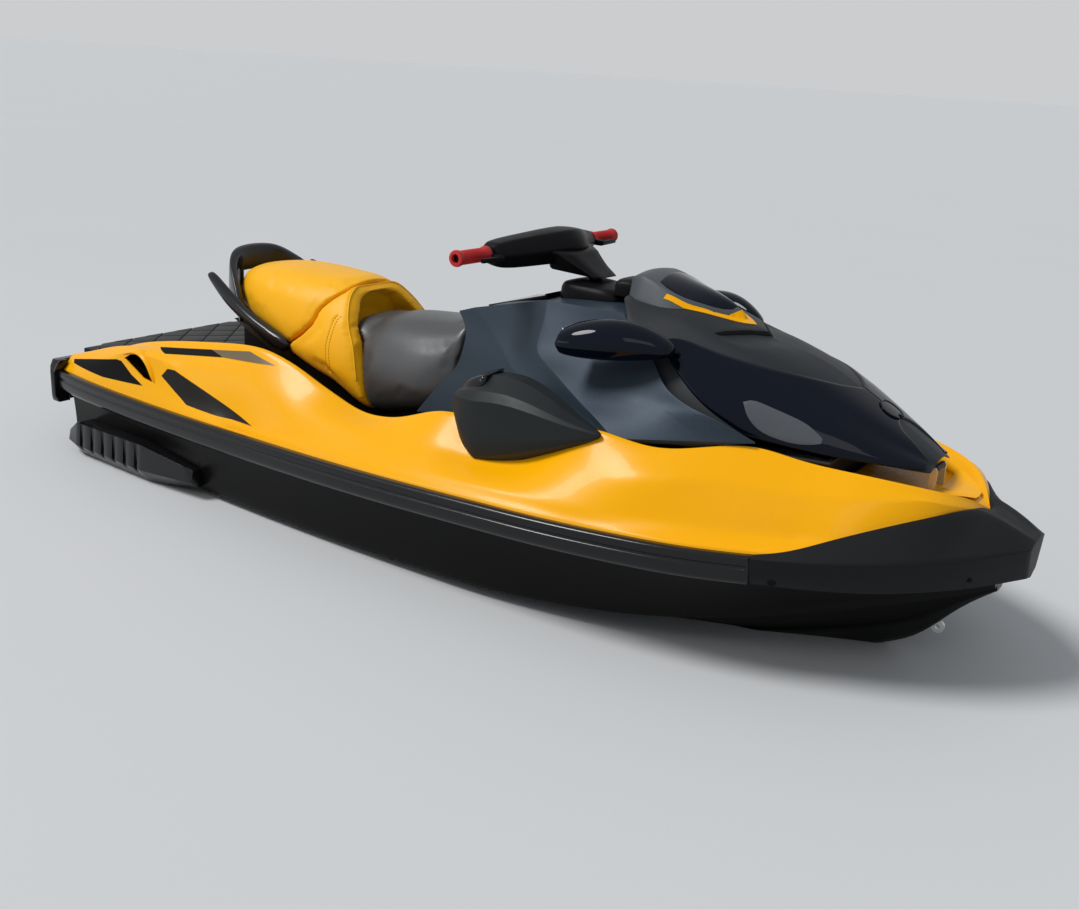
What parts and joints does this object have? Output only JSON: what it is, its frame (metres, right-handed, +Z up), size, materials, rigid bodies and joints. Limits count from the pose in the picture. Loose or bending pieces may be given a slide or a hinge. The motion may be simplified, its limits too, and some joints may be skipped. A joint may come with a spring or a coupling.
{
  "type": "personal watercraft",
  "caption": "Sit-on jet-driven personal watercraft: deep-V hull, sculpted deck, stepped seat, raked bars, tilting front lid, steerable jet nozzle and reverse bucket.",
  "frame": {"origin": "mid length, on the centreline, at the waterline", "axes": "+X towards the bow, +Y to port, +Z up"},
  "size_m": [3.274, 1.25, 1.126],
  "materials": {
    "hull_black": "satin",
    "deck_yellow": "gloss",
    "rubber_black": "matte",
    "panel_charcoal": "metallic satin",
    "lid_navy": "gloss",
    "trim_black": "matte",
    "mat_foam": "textured",
    "seat_yellow": "satin",
    "seat_black": "satin",
    "grip_red": "matte",
    "pump_metal": "cast",
    "blade_steel": "machined",
    "engine_grey": "cast",
    "mirror_face": "polished",
    "screen_glass": "gloss",
    "bin_grey": "matte"
  },
  "bodies": {
    "craft": {"bow_bumper": "rubber_black", "bow_eye": "blade_steel", "cargo_anchor_port": "trim_black", "cargo_anchor_starboard": "trim_black", "console": "panel_charcoal", "deck": "deck_yellow", "engine_block": "engine_grey", "footwell_mat_port": "mat_foam", "footwell_mat_starboard": "mat_foam", "gauge": "screen_glass", "grab_handle": "trim_black", "hull": "hull_black", "intake_grate": "pump_metal", "jet_pump": "pump_metal", "knee_pod_port": "trim_black", "knee_pod_starboard": "trim_black", "lid_hinge": "blade_steel", "nose_trim": "deck_yellow", "platform_mat": "mat_foam", "rail_port": "rubber_black", "rail_starboard": "rubber_black", "ride_plate": "pump_metal", "seat_base": "trim_black", "seat_bolster": "seat_yellow", "seat_front": "seat_black", "seat_rear": "seat_yellow", "side_panel_port": "panel_charcoal", "side_panel_starboard": "panel_charcoal", "sponson_port": "rubber_black", "sponson_starboard": "rubber_black", "steering_column": "rubber_black", "stern_corner_port": "rubber_black", "stern_corner_starboard": "rubber_black", "stern_eye_port": "blade_steel", "stern_eye_starboard": "blade_steel", "storage_bin": "bin_grey", "swim_platform": "trim_black"},
    "lid": {"hood": "lid_navy", "hood_panel": "trim_black", "deflector": "trim_black", "mirror_housing_port": "lid_navy", "mirror_housing_starboard": "lid_navy", "mirror_glass_port": "mirror_face", "mirror_glass_starboard": "mirror_face"},
    "bars": {"handlebar": "trim_black", "grip_port": "grip_red", "grip_starboard": "grip_red", "throttle_lever": "trim_black", "brake_lever": "trim_black"},
    "glove_lid": {"glove_lid": "trim_black"},
    "impeller": {"impeller": "blade_steel"},
    "nozzle": {"steering_nozzle": "pump_metal"},
    "bucket": {"reverse_bucket": "trim_black"}
  },
  "joints": [
    {"name": "steering_turn", "type": "hinge", "parent": "craft", "child": "bars", "pos_m": [0.372, 0, 0.798], "axis": [-0.6428, 0, 0.766], "range_deg": [-24, 24]},
    {"name": "nozzle_turn", "type": "hinge", "parent": "craft", "child": "nozzle", "pos_m": [-1.415, 0, -0.005], "axis": [0, 0, 1], "range_deg": [-25, 25]},
    {"name": "impeller_spin", "type": "hinge", "parent": "craft", "child": "impeller", "pos_m": [-1.2, 0, -0.005], "axis": [1, 0, 0], "continuous": true},
    {"name": "bucket_tilt", "type": "hinge", "parent": "craft", "child": "bucket", "pos_m": [-1.343, 0, -0.005], "axis": [0, -1, 0], "range_deg": [0, 75]},
    {"name": "lid_hinge", "type": "hinge", "parent": "craft", "child": "lid", "pos_m": [1.394, 0, 0.51], "axis": [0, 1, 0], "range_deg": [0, 55]},
    {"name": "glove_hinge", "type": "hinge", "parent": "craft", "child": "glove_lid", "pos_m": [0.23967, 0, 0.77044], "axis": [0, 1, 0], "range_deg": [0, 35]}
  ],
  "couplings": [
    {"joint": "nozzle_turn", "follows": "steering_turn", "ratio": -1}
  ]
}
